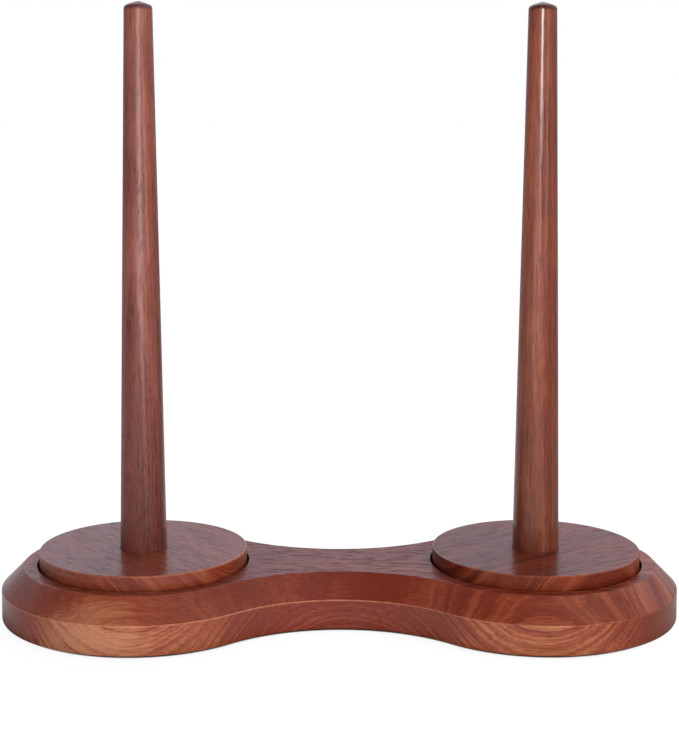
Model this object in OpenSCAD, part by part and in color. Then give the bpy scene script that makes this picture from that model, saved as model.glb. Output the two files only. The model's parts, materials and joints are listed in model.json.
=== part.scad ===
// Twin yarn ball holder: a waisted hardwood base with two turntables on ball
// bearings, each carrying a tall tapered peg that turns with it.
// Millimetres. +Z is up and +X runs along the base. The origin is on the
// surface that the holder stands on, under the middle of the base.

/* [Base] */
// Length of the base over both round ends
base_length = 305; // [296:1:330]
// Diameter of each round end of the base
lobe_d = 127.02; // [124.12:0.58:131.08]
// Thickness of the base board
base_h = 23.1; // [22.6:0.1:28]
// Width and height of the wide bevel round the top
bevel = 9.8; // [5:0.1:10.5]
// Small bevel on the bottom edge of the base
bottom_ease = 0.8; // [0.2:0.1:1.5]
// Depth of the round recess that a turntable sits in
recess_depth = 7.4; // [6.5:0.1:7.6]
// Diameter of the recess
recess_d = 95.4; // [94.4:0.1:97]

/* [Turntables] */
// Diameter of each turntable
table_d = 93.4; // [90:0.1:94]
// Height of the turntable's top above the top of the base
table_proud = 6.3; // [4:0.1:9]
// Gap between the turntable and the recess floor
table_gap = 1.9; // [1.4:0.1:2.4]
// Small bevel on the turntable's edges
table_ease = 0.7; // [0.2:0.1:1.5]

/* [Pegs] */
// Diameter of the peg where it stands on the turntable
peg_foot_d = 21.0; // [18:0.1:26]
// Diameter of the peg at the edge of its tip
peg_top_d = 12.6; // [9:0.1:16]
// Height of the peg from the turntable to the edge of its tip
peg_h = 243.2; // [150:0.1:280]
// Height of the shallow cone at the tip
peg_tip_h = 1.9; // [0.8:0.1:4]
// Ease on the edge of the tip
peg_tip_ease = 0.5; // [0.2:0.1:1]
// How deep the foot of the peg is let into the turntable
peg_seat = 1.5; // [0.5:0.1:3]

/* [Bearings] */
// Diameter of each ball
ball_d = 3.969; // [3.8:0.001:4]
// Number of balls in each bearing
ball_count = 7; // [6:1:8]

/* [Feet] */
// Diameter of each rubber foot
foot_d = 14; // [10:0.5:18]
// Thickness of each rubber foot
foot_h = 1.5; // [1:0.1:3]
// Distance of a foot from the axis of its turntable, along the base
foot_dx = 25; // [15:1:30]
// Distance of a foot from the middle line of the base
foot_dy = 37; // [25:1:40]

/* [Hidden] */
$fn = 96;
eps = 0.5;

bearing_bore = 8;                              // standard 8 x 22 x 7 bearing
bearing_od = 22;
bearing_w = 7;

lobe_r = lobe_d / 2;
axis_x = base_length / 2 - lobe_r;             // turntable axes at x = +-axis_x

// Each waist arc touches both round ends. From a turntable axis, the arc's
// centre lies along the long side of a 20-21-29 triangle.
join_x = 20 / 29;
join_y = 21 / 29;
waist_y = axis_x * 21 / 20;                    // centre of the waist arc
waist_r = axis_x * 29 / 20 - lobe_r;           // its radius
reach = lobe_r + 14.5;                         // the waist's blank runs past the join

z_base = foot_h;                               // underside of the base
z_top = z_base + base_h;                       // top of the base
z_floor = z_top - recess_depth;                // recess floor, flush with the bearing
z_seat = z_floor - bearing_w;                  // ledge under the bearing
z_table = z_floor + table_gap;                 // underside of the turntable
table_t = recess_depth - table_gap + table_proud;
z_plate = z_table + table_t;                   // top of the turntable
z_foot = z_plate - peg_seat;                   // foot of the peg

bore_r = 9.7;                                  // through hole under the bearing
cap_r = 16;                                    // counterbore for the cap
cap_t = 1.8;
lower_washer_t = 1.0;
nut_t = 4.0;                                   // thin M8 nut
nut_af = 13;
stud_r = bearing_bore / 2 - 0.02;
z_stud = z_seat - lower_washer_t - nut_t - 0.8;
insert_r = 6.0;
insert_l = 18;
stud_l = z_foot + insert_l - 2 - z_stud;

pitch_r = (bearing_bore + bearing_od) / 4;     // ball circle
race_r = ball_d / 2 + 0.075;                   // groove a little wider than the ball
inner_land_r = 6.05;
outer_land_r = 8.95;
shield_r = 9.6;
shield_depth = 0.9;

retainer_t = 0.9;
retainer_r = 18;
retainer_pcd = 28;
screw_r = 1.3;
screw_l = 6.5;

walnut = "#7d4334";
walnut_light = "#935545";
walnut_dark = "#6f3d31";
steel = "#b9bcc0";
bright_steel = "#d2d4d6";
brass = "#c2a14d";
black = "#26262a";

// ---- shapes that repeat -------------------------------------------------

// Puts a shape on the left (-1) or right (+1) turntable axis.
module on_axis(side, z = 0) { translate([side * axis_x, 0, z]) children(); }

// A flat ring from inside radius ri to outside radius ro.
module ring(ri, ro, h) {
  rotate_extrude() polygon([[ri, 0], [ro, 0], [ro, h], [ri, h]]);
}

// One round end of the base, as a full disc.
module lobe() {
  rotate_extrude()
    polygon([[0, 0], [lobe_r - bottom_ease, 0], [lobe_r, bottom_ease],
             [lobe_r, base_h - bevel], [lobe_r - bevel, base_h], [0, base_h]]);
}

// The blank between the two turntable axes, before the waist is cut.
module waist_blank(h) {
  tx = axis_x - reach * join_x;
  ty = reach * join_y;
  linear_extrude(height = h)
    polygon([[axis_x, 0], [tx, ty], [-tx, ty], [-axis_x, 0], [-tx, -ty], [tx, -ty]]);
}

// What the waist's hollow side takes away: a round cutter that flares at the bevel.
module waist_cutter() {
  translate([0, waist_y, 0])
    rotate_extrude()
      polygon([[0, -eps], [waist_r + bottom_ease + eps, -eps], [waist_r, bottom_ease],
               [waist_r, base_h - bevel], [waist_r + bevel + eps, base_h + eps], [0, base_h + eps]]);
}

// The three places of the retainer's screws.
module at_screws() {
  for (i = [0 : 2]) rotate([0, 0, 90 + 120 * i]) translate([retainer_pcd / 2, 0, 0]) children();
}

// Everything that is cut into the base at one turntable axis.
module bearing_seat() {
  translate([0, 0, base_h - recess_depth]) cylinder(r = recess_d / 2, h = recess_depth + 1);
  translate([0, 0, base_h - recess_depth - bearing_w]) cylinder(r = bearing_od / 2 + 0.01, h = bearing_w + 1);
  translate([0, 0, -1]) cylinder(r = bore_r, h = base_h);
  translate([0, 0, -1]) cylinder(r = cap_r, h = cap_t + 1);
  translate([0, 0, base_h - recess_depth - screw_l - 0.5])
    at_screws() cylinder(r = screw_r, h = screw_l + 1);
}

// Round plate with a shallow seat in its top for the foot of the peg.
module turntable() {
  r = table_d / 2;
  e = table_ease;
  ri = bearing_bore / 2 + 0.1;
  rs = peg_foot_d / 2 + 0.05;
  rotate_extrude()
    polygon([[ri, 0], [r - e, 0], [r, e], [r, table_t - e], [r - e, table_t], [rs, table_t],
             [rs, table_t - peg_seat], [ri, table_t - peg_seat]]);
}

module peg() {
  rb = peg_foot_d / 2;
  rt = peg_top_d / 2;
  e = peg_tip_ease;
  top = peg_seat + peg_h;
  rotate_extrude()
    polygon([[insert_r, 0], [rb, 0], [rb, peg_seat], [rt, top - e], [rt - e, top], [0, top + peg_tip_h],
             [0, insert_l + 1], [insert_r, insert_l + 1]]);
}

// Threaded insert with three retaining collars on its outside.
module peg_insert() {
  ro = insert_r - 0.02;
  ri = bearing_bore / 2;
  g = 0.6;
  rotate_extrude()
    polygon([[ri, 0], [ro, 0], [ro, 4], [ro - g, 4.6], [ro - g, 5.4], [ro, 6], [ro, 10], [ro - g, 10.6],
             [ro - g, 11.4], [ro, 12], [ro, insert_l - 1], [ro - 1, insert_l], [ri, insert_l]]);
}

// Stud with eased ends and a hexagon socket in its lower end.
module spindle() {
  c = 0.8;
  difference() {
    rotate_extrude()
      polygon([[0, 0], [stud_r - c, 0], [stud_r, c], [stud_r, stud_l - c], [stud_r - c, stud_l], [0, stud_l]]);
    translate([0, 0, -1]) cylinder(r = 2 / cos(30), h = 5, $fn = 6);
  }
}

module bearing_outer_ring() {
  difference() {
    ring(outer_land_r, bearing_od / 2, bearing_w);
    translate([0, 0, bearing_w / 2]) rotate_extrude() translate([pitch_r, 0]) circle(r = race_r);
    translate([0, 0, -1]) cylinder(r = shield_r, h = shield_depth + 1);
    translate([0, 0, bearing_w - shield_depth]) cylinder(r = shield_r, h = shield_depth + 1);
  }
}

module bearing_inner_ring() {
  difference() {
    ring(bearing_bore / 2, inner_land_r, bearing_w);
    translate([0, 0, bearing_w / 2]) rotate_extrude() translate([pitch_r, 0]) circle(r = race_r);
  }
}

module at_balls() {
  for (i = [0 : ball_count - 1])
    rotate([0, 0, 360 / ball_count * i]) translate([pitch_r, 0, bearing_w / 2]) children();
}

module bearing_balls() { at_balls() sphere(d = ball_d); }

// Crown cage: a ring with open pockets that snap over the balls.
module bearing_cage() {
  difference() {
    translate([0, 0, bearing_w / 2 - 0.4]) ring(pitch_r - 0.75, pitch_r + 0.75, 2.8);
    at_balls() sphere(r = ball_d / 2 + 0.06);
  }
}

module bearing_shields() {
  translate([0, 0, 0.3]) ring(inner_land_r + 0.35, shield_r, 0.4);
  translate([0, 0, bearing_w - 0.7]) ring(inner_land_r + 0.35, shield_r, 0.4);
}

module retainer_plate() {
  difference() {
    ring(shield_r + 0.2, retainer_r, retainer_t);
    at_screws() translate([0, 0, -0.05]) cylinder(r1 = 1.55, r2 = 2.55, h = retainer_t + 0.1);
  }
}

// Countersunk wood screws, heads flush with the retainer.
module retainer_screws() {
  at_screws()
    rotate_extrude()
      polygon([[0, -screw_l], [screw_r - 0.02, -screw_l + 2], [screw_r - 0.02, 0.02],
               [2.4, retainer_t], [0, retainer_t]]);
}

// Hexagon nut with its corners rounded off on both faces.
module lock_nut() {
  difference() {
    intersection() {
      cylinder(r = nut_af / 2 / cos(30), h = nut_t, $fn = 6);
      rotate_extrude()
        polygon([[0, 0], [nut_af / 2 + 0.2, 0], [nut_af / 2 + 1.3, 0.6], [nut_af / 2 + 1.3, nut_t - 0.6],
                 [nut_af / 2 + 0.2, nut_t], [0, nut_t]]);
    }
    translate([0, 0, -1]) cylinder(r = bearing_bore / 2, h = nut_t + 2);
  }
}

// Cap with a short skirt that pushes into the through hole.
module cover_cap() {
  rotate_extrude()
    polygon([[0, 0], [cap_r - 0.6, 0], [cap_r - 0.1, 0.5], [cap_r - 0.1, cap_t - 0.1], [bore_r - 0.1, cap_t - 0.1],
             [bore_r - 0.1, 4.6], [bore_r - 1.2, 4.6], [bore_r - 1.2, cap_t - 0.1], [0, cap_t - 0.1]]);
}

module rubber_foot() {
  rotate_extrude()
    polygon([[0, 0], [foot_d / 2 - 0.6, 0], [foot_d / 2, 0.6], [foot_d / 2, foot_h], [0, foot_h]]);
}

// ---- nodes --------------------------------------------------------------

module base_board() {
  color(walnut)
    translate([0, 0, z_base])
      difference() {
        union() {
          difference() {
            for (side = [-1, 1]) translate([side * axis_x, 0, 0]) lobe();
            translate([0, 0, -1]) waist_blank(base_h + 2);
          }
          difference() {
            waist_blank(base_h);
            waist_cutter();
            rotate([0, 0, 180]) waist_cutter();
          }
        }
        for (side = [-1, 1]) translate([side * axis_x, 0, 0]) bearing_seat();
      }
}

module rubber_feet() {
  color(black)
    for (sx = [-1, 1], sy = [-1, 1]) translate([sx * (axis_x + foot_dx), sy * foot_dy, 0]) rubber_foot();
}

module left_turntable() { color(walnut_light) on_axis(-1, z_table) turntable(); }
module left_peg() { color(walnut_dark) on_axis(-1, z_foot) peg(); }
module left_peg_insert() { color(brass) on_axis(-1, z_foot) peg_insert(); }
module left_spindle() { color(steel) on_axis(-1, z_stud) spindle(); }
module left_spacer_washer() { color(steel) on_axis(-1, z_floor) ring(bearing_bore / 2 + 0.1, inner_land_r - 0.05, table_gap); }
module left_bearing_outer_ring() { color(bright_steel) on_axis(-1, z_seat) bearing_outer_ring(); }
module left_bearing_inner_ring() { color(bright_steel) on_axis(-1, z_seat) bearing_inner_ring(); }
module left_bearing_balls() { color(bright_steel) on_axis(-1, z_seat) bearing_balls(); }
module left_bearing_cage() { color(brass) on_axis(-1, z_seat) bearing_cage(); }
module left_bearing_shields() { color(steel) on_axis(-1, z_seat) bearing_shields(); }
module left_retainer_plate() { color(steel) on_axis(-1, z_floor) retainer_plate(); }
module left_retainer_screws() { color(steel) on_axis(-1, z_floor) retainer_screws(); }
module left_lower_washer() { color(steel) on_axis(-1, z_seat - lower_washer_t) ring(bearing_bore / 2 + 0.1, inner_land_r - 0.05, lower_washer_t); }
module left_lock_nut() { color(steel) on_axis(-1, z_seat - lower_washer_t - nut_t) lock_nut(); }
module left_cover_cap() { color(black) on_axis(-1, z_base) cover_cap(); }

module right_turntable() { color(walnut_light) on_axis(1, z_table) turntable(); }
module right_peg() { color(walnut_dark) on_axis(1, z_foot) peg(); }
module right_peg_insert() { color(brass) on_axis(1, z_foot) peg_insert(); }
module right_spindle() { color(steel) on_axis(1, z_stud) spindle(); }
module right_spacer_washer() { color(steel) on_axis(1, z_floor) ring(bearing_bore / 2 + 0.1, inner_land_r - 0.05, table_gap); }
module right_bearing_outer_ring() { color(bright_steel) on_axis(1, z_seat) bearing_outer_ring(); }
module right_bearing_inner_ring() { color(bright_steel) on_axis(1, z_seat) bearing_inner_ring(); }
module right_bearing_balls() { color(bright_steel) on_axis(1, z_seat) bearing_balls(); }
module right_bearing_cage() { color(brass) on_axis(1, z_seat) bearing_cage(); }
module right_bearing_shields() { color(steel) on_axis(1, z_seat) bearing_shields(); }
module right_retainer_plate() { color(steel) on_axis(1, z_floor) retainer_plate(); }
module right_retainer_screws() { color(steel) on_axis(1, z_floor) retainer_screws(); }
module right_lower_washer() { color(steel) on_axis(1, z_seat - lower_washer_t) ring(bearing_bore / 2 + 0.1, inner_land_r - 0.05, lower_washer_t); }
module right_lock_nut() { color(steel) on_axis(1, z_seat - lower_washer_t - nut_t) lock_nut(); }
module right_cover_cap() { color(black) on_axis(1, z_base) cover_cap(); }

base_board();
rubber_feet();
left_turntable();
left_peg();
left_peg_insert();
left_spindle();
left_spacer_washer();
left_bearing_outer_ring();
left_bearing_inner_ring();
left_bearing_balls();
left_bearing_cage();
left_bearing_shields();
left_retainer_plate();
left_retainer_screws();
left_lower_washer();
left_lock_nut();
left_cover_cap();
right_turntable();
right_peg();
right_peg_insert();
right_spindle();
right_spacer_washer();
right_bearing_outer_ring();
right_bearing_inner_ring();
right_bearing_balls();
right_bearing_cage();
right_bearing_shields();
right_retainer_plate();
right_retainer_screws();
right_lower_washer();
right_lock_nut();
right_cover_cap();
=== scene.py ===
"""Twin yarn ball holder: surfaces, finishes, light and camera around the fixed frame.

Metres, +Z up, +X along the base. Shapes are written in millimetres and scaled by MM.
"""

import json
import math

import bmesh
import bpy
from mathutils import Matrix, Vector


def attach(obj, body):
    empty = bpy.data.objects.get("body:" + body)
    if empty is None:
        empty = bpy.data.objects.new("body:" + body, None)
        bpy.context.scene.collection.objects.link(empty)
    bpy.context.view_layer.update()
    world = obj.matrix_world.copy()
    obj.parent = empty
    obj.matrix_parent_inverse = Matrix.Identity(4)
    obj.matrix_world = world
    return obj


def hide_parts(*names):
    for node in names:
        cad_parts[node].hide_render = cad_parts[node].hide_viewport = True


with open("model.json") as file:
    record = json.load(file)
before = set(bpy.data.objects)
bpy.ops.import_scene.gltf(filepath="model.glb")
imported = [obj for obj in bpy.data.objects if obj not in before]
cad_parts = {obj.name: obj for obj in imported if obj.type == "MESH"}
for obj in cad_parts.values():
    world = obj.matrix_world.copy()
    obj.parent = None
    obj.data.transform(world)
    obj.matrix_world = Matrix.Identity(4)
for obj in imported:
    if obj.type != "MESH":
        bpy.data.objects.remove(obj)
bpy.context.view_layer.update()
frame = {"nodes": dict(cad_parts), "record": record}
scene = bpy.context.scene
MM = 0.001

# ---------------------------------------------------------------- dimensions

LOBE_R = 63.475           # round ends of the base
AXIS_X = 88.99            # turntable axes at x = +-AXIS_X
WAIST_Y = 93.4395         # centre and radius of the waist arcs
WAIST_R = 65.5605
JOIN = math.atan2(21, 20)  # where a waist arc meets a round end
Z_BASE = 1.5              # underside of the base
Z_WALL = 14.8             # top of the upright wall, foot of the bevel
Z_TOP = 24.6              # top of the base
BEVEL = 9.8
Z_FLOOR = 17.2            # floor of the recess
RECESS_R = 47.7
Z_SEAT = 10.2             # ledge under the bearing
Z_TABLE = 19.1            # underside of a turntable
Z_PLATE = 30.9            # top of a turntable
TABLE_R = 46.7
Z_FOOT = 29.4             # foot of a peg, let into the turntable
PEG_FOOT_R = 10.5
PEG_TOP_R = 6.3
Z_TIP = 274.1             # edge of a peg's tip
Z_APEX = 276.0

# ---------------------------------------------------------------- mesh tools


def rounded(corners, steps=6):
    """A polyline through corners (u, v, radius), each corner of a radius rounded."""
    out = []
    for i, (u, v, r) in enumerate(corners):
        c = Vector((u, v))
        if r == 0 or i in (0, len(corners) - 1):
            out.append((u, v))
            continue
        a = Vector(corners[i - 1][:2]) - c
        b = Vector(corners[i + 1][:2]) - c
        a.normalize()
        b.normalize()
        half = math.acos(max(-1, min(1, a.dot(b)))) / 2
        reach = r / math.tan(half)
        mid = (a + b).normalized()
        centre = c + mid * (r / math.sin(half))
        p, q = c + a * reach - centre, c + b * reach - centre
        t0 = math.atan2(p.y, p.x)
        turn = math.atan2(q.y, q.x) - t0
        turn = (turn + math.pi) % (2 * math.pi) - math.pi
        for k in range(steps + 1):
            t = t0 + turn * k / steps
            out.append((centre.x + r * math.cos(t), centre.y + r * math.sin(t)))
    return out


def spread(profile, longest):
    """The same polyline with no stretch longer than the given length."""
    out = [profile[0]]
    for (u0, v0), (u1, v1) in zip(profile, profile[1:]):
        n = max(1, math.ceil(math.hypot(u1 - u0, v1 - v0) / longest))
        out += [(u0 + (u1 - u0) * k / n, v0 + (v1 - v0) * k / n) for k in range(1, n + 1)]
    return out


class Shell:
    """A closed surface built from loops of points."""

    def __init__(self):
        self.bm = bmesh.new()

    def loop(self, points):
        return [self.bm.verts.new(Vector(p) * MM) for p in points]

    def circle(self, x, y, r, z, n):
        return self.loop(
            [(x + r * math.cos(2 * math.pi * k / n), y + r * math.sin(2 * math.pi * k / n), z) for k in range(n)]
        )

    def skin(self, a, b):
        n = len(a)
        for k in range(n):
            self.bm.faces.new((a[k], a[(k + 1) % n], b[(k + 1) % n], b[k]))

    def fan(self, ring, point):
        tip = self.bm.verts.new(Vector(point) * MM)
        n = len(ring)
        for k in range(n):
            self.bm.faces.new((ring[k], ring[(k + 1) % n], tip))

    def fill(self, *loops):
        edges = []
        for ring in loops:
            for k in range(len(ring)):
                pair = (ring[k], ring[(k + 1) % len(ring)])
                edges.append(self.bm.edges.get(pair) or self.bm.edges.new(pair))
        bmesh.ops.triangle_fill(self.bm, use_beauty=True, use_dissolve=False, edges=edges)

    def finish(self, name, sharp=38):
        bmesh.ops.recalc_face_normals(self.bm, faces=self.bm.faces)
        open_edges = [e for e in self.bm.edges if len(e.link_faces) != 2]
        if open_edges:
            raise RuntimeError(f"{name}: {len(open_edges)} open edges")
        mesh = bpy.data.meshes.new(name)
        self.bm.to_mesh(mesh)
        self.bm.free()
        for poly in mesh.polygons:
            poly.use_smooth = True
        mesh.set_sharp_from_angle(angle=math.radians(sharp))
        obj = bpy.data.objects.new(name, mesh)
        scene.collection.objects.link(obj)
        return obj


def turned(name, profile, x, n=144):
    """A turned piece: the profile (r, z) swept round the upright axis at x."""
    shell = Shell()
    rings = [None if r == 0 else shell.circle(x, 0, r, z, n) for r, z in profile]
    for (a, pa), (b, pb) in zip(zip(rings, profile), zip(rings[1:], profile[1:])):
        if a is None:
            shell.fan(b, (x, 0, pa[1]))
        elif b is None:
            shell.fan(a, (x, 0, pb[1]))
        else:
            shell.skin(a, b)
    if rings[0] is not None and rings[-1] is not None:
        shell.skin(rings[-1], rings[0])
    return shell.finish(name)


def outline(inset, z, n_lobe=150, n_waist=56):
    """Plan of the base, moved inwards by inset: two round ends joined by waist arcs."""
    r, w = LOBE_R - inset, WAIST_R + inset
    out = []
    for side in (1, -1):
        start = -(math.pi - JOIN) if side == 1 else JOIN
        sweep = 2 * (math.pi - JOIN)
        for k in range(n_lobe + 1):
            t = start + sweep * k / n_lobe
            out.append((side * AXIS_X + r * math.cos(t), r * math.sin(t), z))
        t0 = -JOIN if side == 1 else math.pi - JOIN
        sweep = -(math.pi - 2 * JOIN)
        for k in range(1, n_waist):
            t = t0 + sweep * k / n_waist
            out.append((w * math.cos(t), side * WAIST_Y + w * math.sin(t), z))
    return out


# ---------------------------------------------------------------- shapes


def make_base():
    shell = Shell()
    side = rounded(
        [
            (2.2, Z_BASE, 0),
            (0, Z_BASE, 0.9),
            (0, Z_WALL, 0.45),
            (BEVEL, Z_TOP, 0.4),
            (BEVEL + 1.6, Z_TOP, 0),
        ],
        6,
    )
    side = spread(side, 3.5)
    loops = [shell.loop(outline(u, z)) for u, z in side]
    for a, b in zip(loops, loops[1:]):
        shell.skin(a, b)
    tops, bottoms = [], []
    n = 160
    for x in (-AXIS_X, AXIS_X):
        lip = rounded(
            [
                (RECESS_R + 1.6, Z_TOP, 0),
                (RECESS_R, Z_TOP, 0.25),
                (RECESS_R, Z_FLOOR, 0.5),
                (RECESS_R - 1.6, Z_FLOOR, 0),
            ],
            6,
        )
        rings = [shell.circle(x, 0, r, z, n) for r, z in lip]
        for a, b in zip(rings, rings[1:]):
            shell.skin(a, b)
        tops.append(rings[0])
        seat = [(11.01, Z_FLOOR), (11.01, Z_SEAT), (9.7, Z_SEAT), (9.7, 3.3), (16.0, 3.3), (16.0, Z_BASE)]
        inner = [shell.circle(x, 0, r, z, 96) for r, z in seat]
        for a, b in zip(inner, inner[1:]):
            shell.skin(a, b)
        holes = []
        for k in range(3):
            t = math.radians(90 + 120 * k)
            hx, hy = x + 14 * math.cos(t), 14 * math.sin(t)
            mouth = shell.circle(hx, hy, 1.3, Z_FLOOR, 24)
            bottom = shell.circle(hx, hy, 1.3, Z_FLOOR - 7.0, 24)
            shell.skin(mouth, bottom)
            shell.fan(bottom, (hx, hy, Z_FLOOR - 7.0))
            holes.append(mouth)
        shell.fill(rings[-1], inner[0], *holes)
        bottoms.append(inner[-1])
    shell.fill(loops[-1], *tops)
    shell.fill(loops[0], *bottoms)
    return shell.finish("base_wood_board")


def make_turntable(name, x):
    profile = rounded(
        [
            (4.1, Z_TABLE, 0),
            (TABLE_R - 2.0, Z_TABLE, 0),
            (TABLE_R, Z_TABLE, 0.8),
            (TABLE_R, Z_PLATE, 0.6),
            (TABLE_R - 2.0, Z_PLATE, 0),
            (12.0, Z_PLATE, 0),
            (10.55, Z_PLATE, 0.2),
            (10.55, Z_FOOT, 0),
            (4.1, Z_FOOT, 0),
        ],
        6,
    )
    return turned(name, profile, x, 192)


def make_peg(name, x):
    foot = rounded(
        [
            (0, Z_FOOT + 19.0, 0),
            (6.0, Z_FOOT + 19.0, 0),
            (6.0, Z_FOOT, 0),
            (PEG_FOOT_R, Z_FOOT, 0.3),
            (PEG_FOOT_R, Z_PLATE, 0),
            (PEG_TOP_R, Z_TIP - 0.25, 2.1),
            (4.2, Z_TIP + 0.62, 6.0),
            (0.9, Z_APEX - 0.25, 1.5),
            (0, Z_APEX - 0.1, 0),
        ],
        6,
    )
    return turned(name, spread(foot, 9.0), x, 96)


# ---------------------------------------------------------------- shading tools


class Finish:
    """A node material around one principled surface."""

    def __init__(self, name):
        self.material = bpy.data.materials.new(name)
        self.material.use_nodes = True
        self.tree = self.material.node_tree
        self.tree.nodes.clear()
        out = self.tree.nodes.new("ShaderNodeOutputMaterial")
        self.surface = self.tree.nodes.new("ShaderNodeBsdfPrincipled")
        self.tree.links.new(self.surface.outputs[0], out.inputs["Surface"])

    def put(self, socket, value):
        if isinstance(value, bpy.types.NodeSocket):
            self.tree.links.new(value, socket)
        elif value is not None:
            if hasattr(socket.default_value, "__len__") and len(socket.default_value) == 4 and len(value) == 3:
                value = (*value, 1.0)
            socket.default_value = value

    def set(self, **values):
        for key, value in values.items():
            self.put(self.surface.inputs[key.replace("_", " ")], value)

    def node(self, kind, **props):
        n = self.tree.nodes.new(kind)
        for key, value in props.items():
            setattr(n, key, value)
        return n

    def place(self):
        return self.node("ShaderNodeTexCoord").outputs["Object"]

    def facing(self):
        return self.node("ShaderNodeTexCoord").outputs["Normal"]

    def part(self, vector, axis):
        n = self.node("ShaderNodeSeparateXYZ")
        self.put(n.inputs[0], vector)
        return n.outputs[axis]

    def mapped(self, vector, scale=(1, 1, 1), turn=(0, 0, 0), shift=(0, 0, 0)):
        n = self.node("ShaderNodeMapping", vector_type="POINT")
        self.put(n.inputs["Vector"], vector)
        n.inputs["Scale"].default_value = scale
        n.inputs["Rotation"].default_value = turn
        n.inputs["Location"].default_value = shift
        return n.outputs[0]

    def math(self, op, a, b=None, c=None, clamp=False):
        n = self.node("ShaderNodeMath", operation=op, use_clamp=clamp)
        for socket, value in zip(n.inputs, (a, b, c)):
            self.put(socket, value)
        return n.outputs[0]

    def vec(self, op, a, b=None):
        n = self.node("ShaderNodeVectorMath", operation=op)
        self.put(n.inputs[0], a)
        self.put(n.inputs[1], b)
        return n.outputs["Value"] if op == "LENGTH" else n.outputs["Vector"]

    def noise(self, vector, scale=1.0, detail=2.0, rough=0.5, colour=False):
        n = self.node("ShaderNodeTexNoise", noise_dimensions="3D")
        self.put(n.inputs["Vector"], vector)
        n.inputs["Scale"].default_value = scale
        n.inputs["Detail"].default_value = detail
        n.inputs["Roughness"].default_value = rough
        return n.outputs["Color" if colour else "Fac"]

    def noise1(self, w, scale=1.0, detail=1.0):
        n = self.node("ShaderNodeTexNoise", noise_dimensions="1D")
        self.put(n.inputs["W"], w)
        n.inputs["Scale"].default_value = scale
        n.inputs["Detail"].default_value = detail
        return n.outputs["Fac"]

    def chance(self, w):
        n = self.node("ShaderNodeTexWhiteNoise", noise_dimensions="1D")
        self.put(n.inputs["W"], w)
        return n.outputs["Value"]

    def fit(self, value, a, b, c=0.0, d=1.0, smooth=True):
        n = self.node("ShaderNodeMapRange", interpolation_type="SMOOTHSTEP" if smooth else "LINEAR", clamp=True)
        self.put(n.inputs["Value"], value)
        for key, v in zip(("From Min", "From Max", "To Min", "To Max"), (a, b, c, d)):
            self.put(n.inputs[key], v)
        return n.outputs["Result"]

    def ramp(self, value, stops, ease="LINEAR"):
        n = self.node("ShaderNodeValToRGB")
        n.color_ramp.interpolation = ease
        while len(n.color_ramp.elements) < len(stops):
            n.color_ramp.elements.new(0.5)
        for element, (at, colour) in zip(n.color_ramp.elements, stops):
            element.position = at
            element.color = (colour,) * 3 + (1.0,) if isinstance(colour, (int, float)) else (*colour, 1.0)
        self.put(n.inputs["Fac"], value)
        return n.outputs["Color"]

    def mix(self, amount, a, b, how="MIX"):
        n = self.node("ShaderNodeMix", data_type="RGBA", blend_type=how)
        self.put(n.inputs[0], amount)
        self.put(n.inputs[6], a)
        self.put(n.inputs[7], b)
        return n.outputs[2]

    def bump(self, height, strength, depth):
        n = self.node("ShaderNodeBump")
        n.inputs["Strength"].default_value = strength
        n.inputs["Distance"].default_value = depth
        self.put(n.inputs["Height"], height)
        return n.outputs["Normal"]


# ---------------------------------------------------------------- wood


def dashes(f, log, pitch, reach, seed):
    """Thin lines along the grain, one to each strip of the given pitch, that start and stop."""
    at = f.math("DIVIDE", f.part(log, "Y"), pitch)
    strip = f.math("FLOOR", at)
    middle = f.fit(f.chance(f.math("ADD", strip, seed + 0.37)), 0.0, 1.0, 0.25, 0.75, False)
    off = f.math("ABSOLUTE", f.math("SUBTRACT", f.math("FRACT", at), middle))
    here = f.noise1(f.math("MULTIPLY_ADD", strip, 19.7, f.math("DIVIDE", f.part(log, "X"), reach)), 1.0, 1.0)
    return f.math("MULTIPLY", f.fit(off, 0.08, 0.21, 1.0, 0.0), f.fit(here, 0.50, 0.58))


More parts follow.
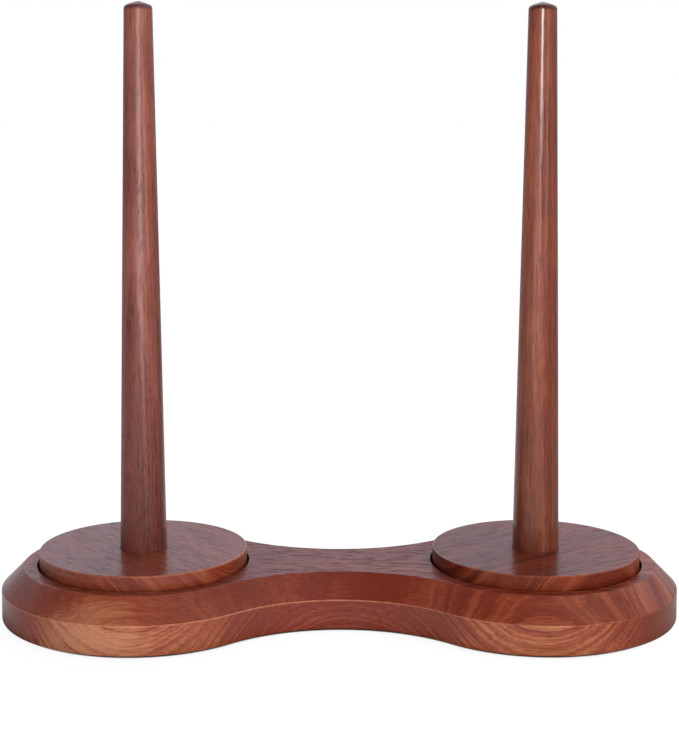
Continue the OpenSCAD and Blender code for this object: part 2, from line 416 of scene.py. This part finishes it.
def wood(
    name, turn, shift, pith, ring, tones, pale, seed,
    coat=0.9, gloss=0.2, sheen=0.05, ripple=0.05, wander=12.0, figure=1.0, fine=0.9, streaks=1.0, fleck=1.0, ends=0.14,
    calm=1.0, side=1.0, broad=0.0, bold=None, brown=None, wear_and_highlight=None, painted_shoulder_shade=None,
):
    """Lacquered open-pored hardwood cut from a log: rings round a pith that runs along the grain.

    turn and shift carry the piece's coordinates (mm) to the log's, with the grain along X.
    tones are the dark, middle and light colours, and pale says where the lighter wood lies, with some painted light and
    shade by which way a face turns.
    wander is how far the grain strays, figure how strong the rings, streaks the long streaks and
    fleck the pores show, fine how close the lines between the rings lie, sheen how much the wood
    under the lacquer shines, ends how much darker the end grain is, calm how much of the ring figure is left
    on faces that lean back, side how much of the lacquer is on upright faces, broad how strong the wide bands
    are, bold where the figure is stronger, brown where the wood is less red, wear_and_highlight where an edge is
    painted lighter (partly rubbed wood, partly a painted highlight), and painted_shoulder_shade where a dark band of
    painted shade goes round a peg's shoulder.
    """
    f = Finish(name)
    log = f.mapped(f.place(), (1000, 1000, 1000), turn, shift)
    away = f.vec("ADD", log, (seed * 137.0, seed * 11.0, seed * 23.0))
    normal = f.facing()
    end = f.math("ABSOLUTE", f.part(f.mapped(normal, (1, 1, 1), turn), "X"))
    end = f.fit(end, 0.35, 0.9)
    up = f.part(normal, "Z")
    flat = f.fit(up, 0.75, 0.98)
    leans = f.fit(up, 0.30, 0.62)

    # slow wander of the grain, then a finer waver and a fine shiver
    slow = f.noise(f.vec("MULTIPLY", away, (0.0045, 0.016, 0.016)), 1.0, 2.0, 0.5, True)
    waver = f.noise(f.vec("MULTIPLY", away, (0.02, 0.10, 0.10)), 1.0, 2.0, 0.5, True)
    half = (0.5, 0.5, 0.5)
    bent = f.vec("ADD", log, f.vec("MULTIPLY", f.vec("SUBTRACT", slow, half), (0, wander, wander)))
    bent = f.vec("ADD", bent, f.vec("MULTIPLY", f.vec("SUBTRACT", waver, half), (0, 0.12 * wander, 0.12 * wander)))
    shiver = f.noise(f.vec("MULTIPLY", away, (0.12, 0.50, 0.50)), 1.0, 2.0, 0.6, True)
    bent = f.vec("ADD", bent, f.vec("MULTIPLY", f.vec("SUBTRACT", shiver, half), (0, 0.07 * wander, 0.07 * wander)))

    # growth rings, with finer lines between them that come and go
    across = f.vec("SUBTRACT", f.vec("MULTIPLY", bent, (0, 1, 1)), (0, pith[0], pith[1]))
    radius = f.vec("LENGTH", across)
    years = f.math("ADD", f.math("DIVIDE", radius, ring), f.math("MULTIPLY", f.noise1(radius, 0.14, 3.0), 5.0))
    part = f.math("FRACT", years)
    year = f.math("FLOOR", years)
    late = f.ramp(part, [(0.0, 0.35), (0.12, 0.0), (0.45, 0.12), (0.78, 0.55), (0.92, 1.0), (1.0, 0.5)], "EASE")
    late = f.math("MULTIPLY", late, f.fit(f.chance(year), 0.0, 1.0, 0.0, 1.0, False))
    lines = f.math("MAXIMUM", f.noise1(f.math("ADD", radius, seed * 50.0), fine, 3.5), f.fit(leans, 0.0, 1.0, 0.41, 0.465, False))
    comes = f.noise(f.vec("MULTIPLY", away, (0.014, 0.06, 0.06)), 1.0, 2.0, 0.5)
    comes = f.math("MULTIPLY", f.fit(comes, 0.35, 0.65, 0.25, 1.0), f.fit(leans, 0.0, 1.0, 1.0, calm, False))
    cloud = f.noise(f.vec("MULTIPLY", away, (0.008, 0.028, 0.028)), 1.0, 3.0, 0.55)
    patch = f.noise(f.vec("MULTIPLY", away, (0.03, 0.05, 0.05)), 1.0, 2.0, 0.5)
    bands = f.noise1(f.math("ADD", f.math("MULTIPLY_ADD", patch, 9.0, radius), seed * 31.0), 0.20, 1.5)
    bands = f.math("SUBTRACT", bands, 0.5)
    if bold:
        more = bold(f, log, leans)
        comes, bands = f.math("MULTIPLY", comes, more), f.math("MULTIPLY", bands, more)

    # fibres, then open pores drawn out along the grain: long ones on the flat faces, fine ones all over
    fibre = f.noise(f.vec("MULTIPLY", bent, (0.10, 1.7, 1.7)), 1.0, 3.0, 0.6)
    streak = f.noise(f.vec("MULTIPLY", bent, (0.010, 0.30, 0.30)), 1.0, 3.0, 0.6)
    long_pores = f.math("MAXIMUM", dashes(f, bent, 3.1, 17.0, 5.0 * seed), f.math("MULTIPLY", dashes(f, bent, 1.9, 9.0, 7.0 * seed + 2.0), 0.7))
    long_pores = f.math("MULTIPLY", long_pores, flat)
    fine_pores = f.noise(f.vec("MULTIPLY", f.vec("ADD", away, (11.0, 7.0, 3.0)), (0.20, 1.4, 1.4)), 1.0, 2.0, 0.55)
    fine_pores = f.math("MULTIPLY", f.fit(fine_pores, 0.50, 0.68), f.fit(end, 0.0, 1.0, 0.75, 0.45))
    pores = f.math("MULTIPLY", f.math("MAXIMUM", long_pores, fine_pores), fleck)

    # colour: paler wood outside, red-brown heart, dark latewood lines, and from pale also some painted light and shade
    # by which way a face turns
    light = f.math("MULTIPLY_ADD", f.math("SUBTRACT", cloud, 0.5), 0.9 * streaks, pale(f, log, leans))
    light = f.math("MULTIPLY_ADD", f.math("SUBTRACT", streak, 0.5), 0.35 * streaks, light)
    light = f.math("MULTIPLY_ADD", f.math("SUBTRACT", fibre, 0.5), 0.75, light)
    light = f.math("MULTIPLY_ADD", f.math("MULTIPLY", late, comes), -0.50 * figure, light)
    light = f.math("MULTIPLY_ADD", f.math("MULTIPLY", f.math("SUBTRACT", lines, 0.5), comes), -0.80 * figure, light)
    light = f.math("MULTIPLY_ADD", bands, f.fit(leans, 0.0, 1.0, -broad, -0.25 * broad - 1.3 * (1.0 - calm), False), light)
    light = f.math("MULTIPLY_ADD", end, -ends, light)
    body = f.ramp(light, [(0.0, tones[0]), (0.5, tones[1]), (1.0, tones[2])])
    if brown:
        body = f.mix(brown(f, log), body, f.mix(1.0, body, (0.92, 1.0, 0.91), "MULTIPLY"))
    # edges painted toward the light tone: partly rubbed wood, partly a painted highlight
    if wear_and_highlight:
        body = f.mix(wear_and_highlight(f, f.mapped(f.place(), (1000, 1000, 1000)), f.fit(fibre, 0.35, 0.65, 0.5, 1.0)), body, tones[2])
    # painted shade: a dark band painted round each peg's shoulder, just below the tip
    if painted_shoulder_shade:
        body = f.mix(painted_shoulder_shade(f, f.mapped(f.place(), (1000, 1000, 1000))), body, f.mix(1.0, body, (0.36, 0.30, 0.50), "MULTIPLY"))
    dark = f.math("MULTIPLY_ADD", long_pores, 0.50 * fleck, f.math("MULTIPLY", pores, 0.34))
    colour = f.mix(dark, body, f.mix(1.0, body, (0.30, 0.24, 0.24), "MULTIPLY"))

    rough = f.math("ADD", f.fit(fibre, 0.3, 0.7, 0.40, 0.52, False), f.math("MULTIPLY", pores, 0.15))
    height = f.math("SUBTRACT", f.math("MULTIPLY", fibre, 0.4), pores)
    grit = f.noise(f.vec("MULTIPLY", away, (0.45, 1.1, 1.1)), 1.0, 2.0, 0.6)
    f.set(
        Base_Color=colour,
        Roughness=rough,
        IOR=1.45,
        Specular_IOR_Level=sheen,
        Coat_Weight=f.math("MULTIPLY", f.fit(pores, 0.0, 1.0, coat, coat * 0.22, False), f.fit(leans, 0.0, 1.0, side, 1.0, False)),
        Coat_Roughness=gloss,
        Coat_IOR=1.4,
        Normal=f.bump(height, 0.3, 0.0001),
        Coat_Normal=f.bump(grit, ripple, 0.0001),
    )
    return f.material


def sapwood_and_painted_light(f, log, leans):
    """Paler along the two long edges of the board, most of all at its left end, with painted light: the right end's
    bevel painted paler, and upright faces painted paler towards the long sides and a little darker at the ends.
    """
    x, y = f.part(log, "X"), f.math("ABSOLUTE", f.part(log, "Y"))
    left = f.fit(x, -103.0, -67.0, 1.0, 0.0)
    level = f.fit(left, 0.0, 1.0, f.fit(y, 46.0, 58.0, 0.19, 0.24), f.fit(y, 49.0, 64.0, 0.25, 0.81), False)
    level = f.math("ADD", level, f.fit(x, -115.0, -150.0, 0.0, 0.42))
    # painted light: the right end's bevel is painted paler, as if lit from the right
    level = f.math("ADD", level, f.math("MULTIPLY", f.fit(x, 105.0, 145.0), f.fit(leans, 0.0, 1.0, -0.03, 0.28, False)))
    level = f.math("SUBTRACT", level, f.math("MULTIPLY", f.fit(x, -85.0, -65.0, 0.0, 0.06), f.fit(x, -35.0, -15.0, 1.0, 0.0)))
    # painted light: upright faces are painted paler towards the long sides and a little darker at the ends
    upright = f.math("MULTIPLY", f.fit(y, 38.0, 63.0, -0.06, 0.28), f.fit(leans, 0.0, 1.0, 1.0, 0.0, False))
    return f.math("ADD", level, f.math("MULTIPLY", upright, f.fit(left, 0.0, 1.0, 1.3, 0.70, False)))


def right_end_figure(f, log, leans):
    """The rings show most in the right half of the board, above all on its bevel."""
    x = f.part(log, "X")
    return f.fit(leans, 0.0, 1.0, f.fit(x, 0.0, 75.0, 1.10, 1.50), f.fit(x, -75.0, 75.0, 0.45, 1.95), False)


def brown_ends(f, log):
    """Less red in the right end of the board and beside the left one."""
    x = f.part(log, "X")
    beside = f.math("MULTIPLY", f.fit(x, -85.0, -60.0, 0.0, 0.8), f.fit(x, -40.0, -20.0, 1.0, 0.0))
    return f.math("ADD", f.fit(x, 25.0, 95.0), beside)


def brown_all(f, log):
    return 0.8


def even(level, top=0.0):
    """The same all through and a little darker towards the pith; top shifts the faces that look up, which is painted
    shade where top is below zero.
    """

    def pale(f, log, leans):
        # painted shade: faces that look up are moved by top, darker on the turntables
        return f.math("MULTIPLY_ADD", leans, top, f.fit(f.part(log, "Z"), -60.0, 60.0, level - 0.03, level + 0.03, False))

    return pale


def rubbed_and_highlit_bevel_edge(f, at, break_up):
    """The edge between the upright wall and the bevel, painted lighter and least at the right end: partly rubbed wood,
    partly a painted highlight.
    """
    z = f.part(at, "Z")
    line = f.math("MULTIPLY", f.fit(z, Z_WALL - 0.75, Z_WALL - 0.30), f.fit(z, Z_WALL - 0.10, Z_WALL + 0.12, 1.0, 0.0))
    return f.math("MULTIPLY", f.math("MULTIPLY", line, f.fit(f.part(at, "X"), -20.0, 90.0, 0.80, 0.22)), break_up)


def rubbed_and_highlit_rim(x):
    """The top edge of a turntable on the axis at x, painted lighter: partly rubbed wood, partly a painted highlight."""

    def wear_and_highlight(f, at, break_up):
        off = f.vec("LENGTH", f.vec("MULTIPLY", f.vec("SUBTRACT", at, (x, 0, 0)), (1, 1, 0)))
        rim = f.math("MULTIPLY", f.fit(off, TABLE_R - 0.9, TABLE_R - 0.3), f.fit(f.part(at, "Z"), Z_PLATE - 0.9, Z_PLATE - 0.3))
        return f.math("MULTIPLY", f.math("MULTIPLY", rim, 0.45), break_up)

    return wear_and_highlight


TONES = ((0.170, 0.025, 0.012), (0.290, 0.062, 0.027), (0.500, 0.200, 0.100))
# the left peg's tones are its wood colour with a painted reflection: bluer than the right peg's, standing in for the
# lacquer's pale veil
LEFT_PEG_TONES = ((0.081, 0.018, 0.014), (0.180, 0.052, 0.036), (0.304, 0.113, 0.073))
RIGHT_PEG_TONES = ((0.072, 0.013, 0.008), (0.172, 0.046, 0.024), (0.305, 0.108, 0.056))
DARK_TONES = ((0.085, 0.011, 0.006), (0.195, 0.032, 0.012), (0.340, 0.098, 0.046))

base_wood = wood(
    "base_wood", (0, 0.03, 0.03), (0, 0, 0), (45, -52), 1.8, TONES, sapwood_and_painted_light, 1,
    wander=13.0, figure=1.5, fine=1.0, streaks=0.9, calm=0.50, bold=right_end_figure, brown=brown_ends, wear_and_highlight=rubbed_and_highlit_bevel_edge,
)

# each turntable has come to rest with its grain at an angle to the base's
LEFT_TURN, RIGHT_TURN = math.radians(50), math.radians(-35)
# both turntable tops are painted darker by even's second number: painted shade
left_table_wood = wood(
    "left_table_wood", (0, 0.02, LEFT_TURN), (140, AXIS_X * math.sin(LEFT_TURN), 0), (30, 66), 5.4,
    TONES, even(0.41, -0.09), 2, 1.0, wander=5.0, figure=1.5, fine=0.28, streaks=0.5, fleck=0.55, side=0.75, broad=1.0, brown=brown_all, wear_and_highlight=rubbed_and_highlit_rim(-AXIS_X),
)
right_table_wood = wood(
    "right_table_wood", (0, -0.02, RIGHT_TURN), (-250, -AXIS_X * math.sin(RIGHT_TURN), 0), (13, 50), 3.6,
    DARK_TONES, even(0.51, -0.14), 3, 0.95, wander=5.0, figure=1.4, fine=0.40, streaks=0.5, fleck=0.6, side=0.35, broad=0.7, brown=brown_all, wear_and_highlight=rubbed_and_highlit_rim(AXIS_X),
)
UPRIGHT = (0, math.radians(90), 0)


def painted_peg_shoulder_shade(f, at):
    """Painted shade: a dark band painted round the edge of a peg's tip."""
    z = f.part(at, "Z")
    return f.math("MULTIPLY", f.fit(z, Z_TIP - 2.6, Z_TIP - 1.1, 0.0, 0.85), f.fit(z, Z_TIP - 0.2, Z_TIP + 0.5, 1.0, 0.0))


left_peg_wood = wood(
    "left_peg_wood", UPRIGHT, (0, 14, -89), (-60, 30), 2.6, LEFT_PEG_TONES, even(0.52), 4,
    0.9, 0.34, 0.06, 0.12, wander=2.5, figure=1.1, streaks=1.4, fleck=1.0, ends=0.1, broad=0.5, painted_shoulder_shade=painted_peg_shoulder_shade,
)
right_peg_wood = wood(
    "right_peg_wood", UPRIGHT, (60, -9, 89), (52, -44), 2.8, RIGHT_PEG_TONES, even(0.49), 5,
    0.95, 0.22, 0.06, 0.07, wander=2.5, figure=1.1, streaks=1.4, fleck=1.0, ends=0.1, broad=0.5, painted_shoulder_shade=painted_peg_shoulder_shade,
)


# ---------------------------------------------------------------- metal, rubber, plastic


def metal(name, colour, rough, grit=2600.0):
    f = Finish(name)
    p = f.place()
    fine = f.noise(f.mapped(p, (grit, grit, grit * 0.12)), 1.0, 3.0, 0.6)
    soft = f.noise(p, 160.0, 3.0, 0.55)
    tint = f.mix(f.fit(soft, 0.3, 0.7, 0.0, 1.0, False), tuple(c * 0.86 for c in colour), colour)
    f.set(
        Base_Color=tint,
        Metallic=1.0,
        Roughness=f.math("ADD", f.fit(fine, 0.3, 0.7, rough * 0.8, rough * 1.25, False), f.fit(soft, 0.45, 0.75, 0.0, 0.08)),
        Normal=f.bump(fine, 0.12, 0.00002),
    )
    return f.material


def moulded(name, colour, rough, grit, depth):
    f = Finish(name)
    p = f.place()
    grain = f.noise(p, grit, 4.0, 0.6)
    dust = f.noise(p, 90.0, 4.0, 0.6)
    tint = f.mix(f.fit(dust, 0.45, 0.8, 0.0, 0.35), colour, tuple(min(1.0, c * 2.6 + 0.01) for c in colour))
    f.set(
        Base_Color=tint,
        Roughness=f.fit(grain, 0.3, 0.7, rough - 0.08, rough + 0.1, False),
        Specular_IOR_Level=0.42,
        Normal=f.bump(grain, 0.35, depth),
    )
    return f.material


FINISHES = {
    "bearing_steel": metal("bearing_steel", (0.66, 0.66, 0.68), 0.16),
    "steel": metal("zinc_steel", (0.52, 0.53, 0.55), 0.32),
    "brass": metal("turned_brass", (0.62, 0.43, 0.17), 0.28),
    "cage_brass": metal("pressed_brass", (0.54, 0.37, 0.15), 0.34),
    "rubber": moulded("black_rubber", (0.020, 0.020, 0.022), 0.72, 3000.0, 0.00006),
    "cap_plastic": moulded("black_plastic", (0.018, 0.018, 0.020), 0.48, 4200.0, 0.00005),
}

slots = {s["node"]: s["material_slot"] for s in frame["record"]["subparts"]}
for name, obj in frame["nodes"].items():
    finish = FINISHES.get(slots[name])
    if finish is None:
        continue
    if obj.material_slots:
        for s in obj.material_slots:
            s.material = finish
    else:
        obj.data.materials.append(finish)

# ---------------------------------------------------------------- wooden pieces


def dress(obj, material, body, node):
    obj.data.materials.append(material)
    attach(obj, body)
    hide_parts(node)


dress(make_base(), base_wood, "base", "base_board")
for side, sign, table, peg in (("left", -1, left_table_wood, left_peg_wood), ("right", 1, right_table_wood, right_peg_wood)):
    body = f"{side}_spinner"
    dress(make_turntable(f"{side}_wood_turntable", sign * AXIS_X), table, body, f"{side}_turntable")
    dress(make_peg(f"{side}_wood_peg", sign * AXIS_X), peg, body, f"{side}_peg")

# ---------------------------------------------------------------- camera

FOCAL_PX = 1592.95
DISTANCE = 711.363
PITCH = math.radians(5.741)
TARGET = Vector((-0.311, 0.0, 158.399 + Z_BASE))
ROLL = math.radians(0.092)
YAW = math.radians(0.418)

data = bpy.data.cameras.new("photo_camera")
data.sensor_width = 36.0
data.lens = FOCAL_PX / 748.0 * 36.0
data.shift_y = -110.0 / 748.0
data.clip_start = 0.01
data.clip_end = 100.0
camera = bpy.data.objects.new("photo_camera", data)
ahead = Vector((0, math.cos(PITCH), -math.sin(PITCH)))
right = Vector((1, 0, 0))
up = right.cross(ahead)
right, up = (
    right * math.cos(ROLL) + up * math.sin(ROLL),
    up * math.cos(ROLL) - right * math.sin(ROLL),
)
pose = Matrix((right, up, -ahead)).transposed().to_4x4()
pose.translation = (TARGET - ahead * DISTANCE) * MM
camera.matrix_world = Matrix.Rotation(-YAW, 4, "Z") @ pose
scene.collection.objects.link(camera)
scene.camera = camera

# ---------------------------------------------------------------- floor and light

shell = bmesh.new()
bmesh.ops.create_grid(shell, x_segments=1, y_segments=1, size=14.0)
mesh = bpy.data.meshes.new("floor")
shell.to_mesh(mesh)
shell.free()
floor = bpy.data.objects.new("floor", mesh)
scene.collection.objects.link(floor)
f = Finish("pale_floor")
p = f.place()
ax, ay = f.math("ABSOLUTE", f.part(p, "X")), f.math("ABSOLUTE", f.part(p, "Y"))
lobe = f.math("SUBTRACT", f.vec("LENGTH", f.vec("SUBTRACT", f.vec("ABSOLUTE", p), (AXIS_X * MM, 0, 0))), LOBE_R * MM)
waist = f.math("SUBTRACT", WAIST_R * MM, f.vec("LENGTH", f.vec("SUBTRACT", f.vec("ABSOLUTE", p), (0, WAIST_Y * MM, 0))))
inner = f.math("LESS_THAN", f.math("ADD", f.math("DIVIDE", ax, AXIS_X * MM), f.math("DIVIDE", ay, WAIST_Y * MM)), 1.0)
reach = f.fit(inner, 0.0, 1.0, lobe, waist, False)
near = f.fit(reach, -0.004, 0.020)
# painted shadow: just inside the base's outline the floor is painted dark for camera rays, a contact shadow under the
# base
under = f.fit(reach, -0.0044, -0.0026)
# painted light: for rays other than the camera's the floor glows onto the piece, weak beside the base and dimmer behind
# and past both ends
painted_floor_glow = f.math("MULTIPLY", f.fit(near, 0.0, 1.0, 0.05, 0.47, False), f.math("MULTIPLY", f.fit(f.part(p, "Y"), -0.08, 0.10, 1.0, 0.45), f.math("MULTIPLY", f.fit(f.part(p, "X"), 0.11, 0.17, 1.0, 0.4), f.fit(f.part(p, "X"), -0.17, -0.11, 0.40, 1.0))))
# painted shade: for rays other than the camera's the floor's colour is dark beside the base and past its right end
shade = f.mix(f.math("MULTIPLY", near, f.fit(f.part(p, "X"), 0.11, 0.17, 1.0, 0.2)), (0.25, 0.25, 0.25), f.mix(f.noise(p, 7.0, 3.0, 0.5), (0.74, 0.74, 0.74), (0.78, 0.78, 0.78)))
direct = f.node("ShaderNodeLightPath").outputs["Is Camera Ray"]
# to the camera the floor is evenly white apart from that painted shadow; other rays see its painted shade and painted
# light
f.set(
    Base_Color=f.mix(direct, shade, f.mix(under, (0.03, 0.03, 0.03), (0.16, 0.16, 0.16))),
    Roughness=0.9,
    Specular_IOR_Level=0.1,
    Emission_Color=(1.0, 1.0, 1.0),
    Emission_Strength=f.fit(direct, 0.0, 1.0, painted_floor_glow, f.math("MULTIPLY", under, 0.92), False),
)
floor.data.materials.append(f.material)

world = bpy.data.worlds.new("studio")
scene.world = world
world.use_nodes = True
tree = world.node_tree
tree.nodes.clear()


def world_node(kind, **sockets):
    n = tree.nodes.new(kind)
    for key, value in sockets.items():
        socket = n.inputs[key.replace("_", " ")]
        if isinstance(value, bpy.types.NodeSocket):
            tree.links.new(value, socket)
        else:
            socket.default_value = value
    return n


def world_fit(value, a, b, c, d):
    n = world_node("ShaderNodeMapRange", Value=value, From_Min=a, From_Max=b, To_Min=c, To_Max=d)
    n.interpolation_type = "SMOOTHSTEP"
    return n.outputs["Result"]


def world_math(op, a, b):
    n = tree.nodes.new("ShaderNodeMath")
    n.operation = op
    for socket, value in zip(n.inputs, (a, b)):
        if isinstance(value, bpy.types.NodeSocket):
            tree.links.new(value, socket)
        else:
            socket.default_value = value
    return n.outputs[0]


# a bright wall behind, a dim room, a paler stretch low in front, a pale wall on the left, and a broad lamp high on the right
way = world_node("ShaderNodeSeparateXYZ", Vector=tree.nodes.new("ShaderNodeTexCoord").outputs["Generated"])
x, y, z = way.outputs["X"], way.outputs["Y"], way.outputs["Z"]
behind = world_math("MULTIPLY", world_fit(y, 0.1, 0.8, 0.0, 0.45), world_fit(z, 0.34, 0.50, 1.0, 3.8))
behind = world_math("MULTIPLY", behind, world_fit(z, 0.56, 0.74, 1.0, 0.4))
behind = world_math("MULTIPLY", behind, world_fit(x, -0.3, 0.0, 1.35, 1.0))
behind = world_math("MULTIPLY", behind, world_fit(x, -0.75, -0.35, 0.45, 1.0))
in_front = world_math("MULTIPLY", world_fit(y, -0.9, -0.3, 0.15, 0.0), world_fit(z, 0.2, 0.6, 1.0, 0.0))
lamp = world_math("ADD", world_math("MULTIPLY", x, 0.62), world_math("MULTIPLY", z, 0.77))
lamp = world_fit(world_math("ADD", lamp, world_math("MULTIPLY", y, -0.12)), 0.55, 1.0, 0.0, 0.70)
left_wall = world_math("MULTIPLY", world_fit(x, -0.9, -0.4, 0.20, 0.0), world_fit(z, -0.05, 0.1, 0.0, 1.0))
room = world_math("ADD", world_math("ADD", world_math("ADD", behind, in_front), left_wall), 0.09)
seen = tree.nodes.new("ShaderNodeLightPath").outputs["Is Camera Ray"]
strength = world_math("MAXIMUM", room, seen)
tint = tree.nodes.new("ShaderNodeMix")
tint.data_type = "RGBA"
tree.links.new(seen, tint.inputs[0])
tint.inputs[6].default_value = (0.96, 0.96, 1.12, 1.0)
tint.inputs[7].default_value = (1.0, 1.0, 1.0, 1.0)
sky = world_node("ShaderNodeBackground", Color=tint.outputs[2], Strength=strength)
glare = world_node("ShaderNodeBackground", Color=(1.03, 0.96, 0.90, 1.0), Strength=world_math("MULTIPLY", lamp, world_math("SUBTRACT", 1.0, seen)))
both = tree.nodes.new("ShaderNodeAddShader")
tree.links.new(sky.outputs[0], both.inputs[0])
tree.links.new(glare.outputs[0], both.inputs[1])
out = world_node("ShaderNodeOutputWorld", Surface=both.outputs[0])


def softbox(name, at, to, width, height, power, spread=180, colour=(1, 1, 1), mirrored=True):
    light = bpy.data.lights.new(name, "AREA")
    light.shape = "RECTANGLE"
    light.size = width
    light.size_y = height
    light.energy = power
    light.color = colour
    light.spread = math.radians(spread)
    obj = bpy.data.objects.new(name, light)
    obj.location = at
    obj.rotation_euler = (Vector(to) - Vector(at)).to_track_quat("-Z", "Y").to_euler()
    obj.visible_camera = False
    obj.visible_glossy = mirrored
    scene.collection.objects.link(obj)
    return obj


softbox("left_strip", (-0.048, -0.45, 0.23), (-0.089, 0, 0.20), 0.20, 0.26, 0.130, 40)
softbox("low_strip", (-0.20, -0.42, 0.14), (0.0, 0, 0.19), 0.20, 0.16, 0.034, 60)
softbox("right_strip", (0.033, -0.45, 0.32), (0.089, 0, 0.24), 0.10, 0.16, 0.098, 40)
softbox("window", (0.38, -0.45, 0.27), (0.0, 0, 0.22), 0.16, 0.30, 0.060, 50, (1.0, 0.86, 0.78))
softbox("key", (0.13, -0.42, 0.07), (0, 0, 0.05), 0.26, 0.14, 0.98, 180, (1, 1, 1), False)
softbox("right_end", (0.32, -0.08, 0.38), (0.15, 0, 0.02), 0.20, 0.20, 0.046, 34, (1.0, 0.78, 0.52), False)
softbox("back_fill", (0.15, 0.55, 0.24), (0, 0, 0.10), 0.40, 0.30, 0.55, 100, (1, 1, 1), False)

scene.view_settings.view_transform = "Standard"
